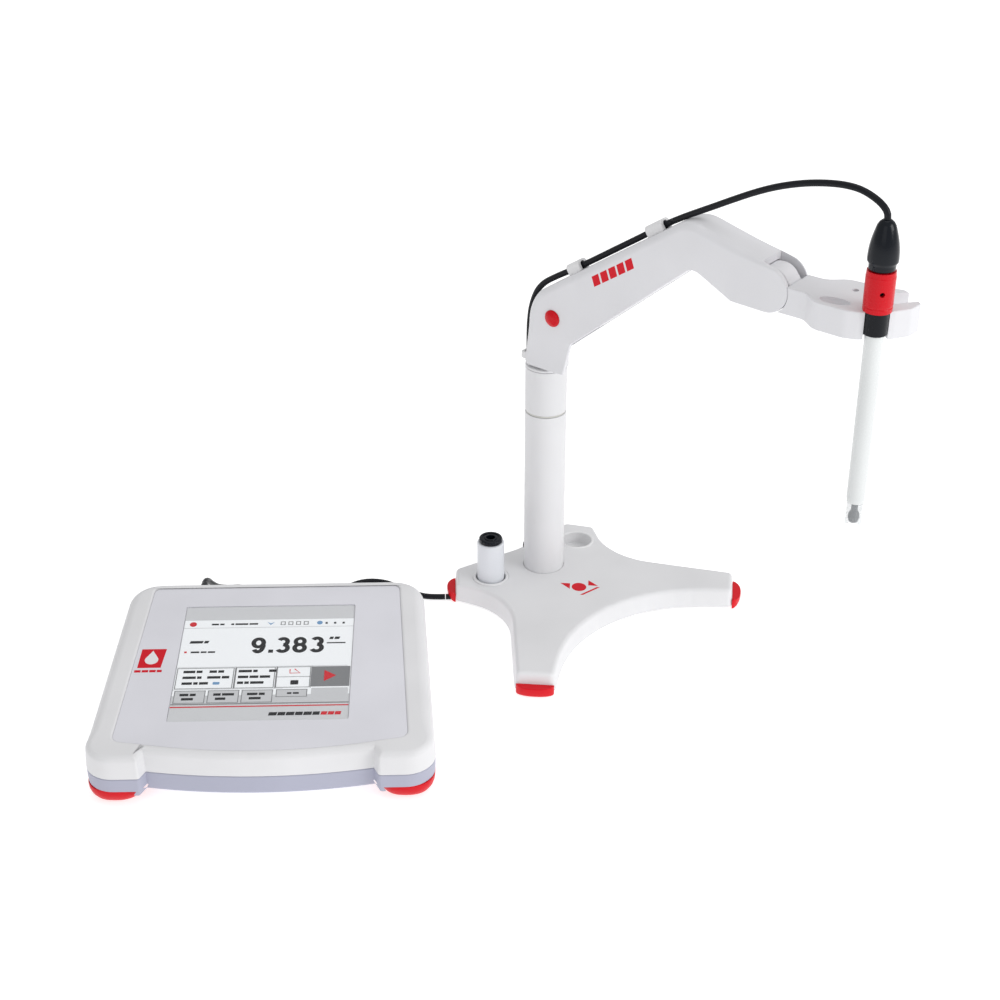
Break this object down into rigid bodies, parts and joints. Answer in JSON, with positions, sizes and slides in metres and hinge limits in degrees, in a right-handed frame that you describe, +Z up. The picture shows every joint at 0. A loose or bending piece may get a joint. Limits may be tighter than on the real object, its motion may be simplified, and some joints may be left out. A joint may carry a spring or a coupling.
{
  "type": "bench ph meter with electrode stand",
  "caption": "Bench pH meter with a sloping touch screen, and a swivelling electrode stand whose levelling arm holds a combined pH electrode on its cable.",
  "frame": {"origin": "on the table, under the middle of the meter and the stand together, without the free cable", "axes": "+X to the right and +Y away as seen by someone at the touch screen, +Z up"},
  "size_m": [0.5338, 0.3463, 0.3832],
  "materials": {
    "white_plastic": "satin",
    "panel_film": "satin",
    "window": "gloss",
    "grey_plastic": "satin",
    "red_rubber": "matte",
    "red_plastic": "gloss",
    "black_rubber": "matte",
    "black_plastic": "satin",
    "steel": "brushed",
    "nickel": "bright",
    "bush_plastic": "satin",
    "board": "satin",
    "screen": "gloss",
    "translucent_plastic": "satin",
    "clear_plastic": "gloss",
    "sensing_glass": "gloss"
  },
  "bodies": {
    "base": {"base_cover": "white_plastic", "base_plate": "grey_plastic", "base_weight": "steel", "bnc_socket": "nickel", "cable_free": "black_rubber", "cable_in_post": "black_rubber", "display_window": "window", "electrode_input_shield": "steel", "foot_front_left": "red_rubber", "foot_front_right": "red_rubber", "foot_rear_left": "red_rubber", "foot_rear_right": "red_rubber", "friction_washer": "black_plastic", "lcd_module": "screen", "lower_housing": "grey_plastic", "lower_post": "white_plastic", "main_board": "board", "plug_body": "black_rubber", "plug_ring": "nickel", "power_socket": "black_plastic", "rear_panel": "grey_plastic", "reference_socket": "nickel", "serial_socket": "steel", "swivel_bush": "bush_plastic", "temperature_socket": "black_plastic", "toe_cap_back": "red_rubber", "toe_cap_front": "red_rubber", "toe_cap_left": "red_rubber", "toe_cap_right": "red_rubber", "touch_panel_frame": "panel_film", "upper_housing": "white_plastic", "usb_device_socket": "steel", "usb_host_socket": "steel"},
    "head": {"upper_sleeve": "white_plastic", "arm_bracket": "white_plastic", "link_pin_rear": "steel", "post_cable_clip": "white_plastic", "cable_in_head": "black_rubber"},
    "link": {"leveling_link": "steel"},
    "arm": {"arm_shell": "white_plastic", "arm_underside_cover": "white_plastic", "rear_hinge_pin": "steel", "front_hinge_pin": "steel", "hinge_cap_near": "red_plastic", "hinge_cap_far": "red_plastic", "arm_cable_clip_rear": "white_plastic", "arm_cable_clip_front": "white_plastic", "cable_shoulder": "black_rubber", "cable_on_arm": "black_rubber", "cable_arc": "black_rubber"},
    "holder": {"electrode_holder": "white_plastic", "link_pin_front": "steel", "electrode_shaft": "translucent_plastic", "electrode_head": "black_plastic", "electrode_boot": "black_rubber", "electrode_guard": "clear_plastic", "glass_bulb": "sensing_glass"},
    "collar": {"refill_collar": "red_plastic"},
    "bottle": {"storage_bottle": "translucent_plastic"},
    "bottle_cap": {"bottle_cap": "black_rubber"}
  },
  "joints": [
    {"name": "arm_swivel", "type": "hinge", "parent": "base", "child": "head", "pos_m": [0.0382, 0.1023, 0.1536], "axis": [0, 0, 1], "range_deg": [-60, 120]},
    {"name": "arm_lift", "type": "hinge", "parent": "head", "child": "arm", "pos_m": [0.05002, 0.09306, 0.236], "axis": [-0.6157, -0.788, 0], "range_deg": [-42, 3], "deforming": ["cable_shoulder"]},
    {"name": "link_pivot", "type": "hinge", "parent": "head", "child": "link", "pos_m": [0.05002, 0.09306, 0.226], "axis": [-0.6157, -0.788, 0], "range_deg": [-42.5, 3.5]},
    {"name": "holder_level", "type": "hinge", "parent": "arm", "child": "holder", "pos_m": [0.18335, -0.01111, 0.3016], "axis": [-0.6157, -0.788, 0], "range_deg": [-3.5, 42.5], "deforming": ["cable_arc"]},
    {"name": "collar_turn", "type": "hinge", "parent": "holder", "child": "collar", "pos_m": [0.23727, -0.06846, 0.32], "axis": [0, 0, 1], "range_deg": [0, 180]},
    {"name": "bottle_lift", "type": "slide", "parent": "base", "child": "bottle", "axis": [0, 0, 1], "range_m": [0, 0.035]},
    {"name": "bottle_cap_turn", "type": "hinge", "parent": "bottle", "child": "bottle_cap", "pos_m": [-0.00302, 0.08337, 0.048], "axis": [0, 0, 1], "range_deg": [0, 270]}
  ],
  "couplings": [
    {"joint": "link_pivot", "follows": "arm_lift", "ratio": 1},
    {"joint": "holder_level", "follows": "arm_lift", "ratio": -1}
  ]
}
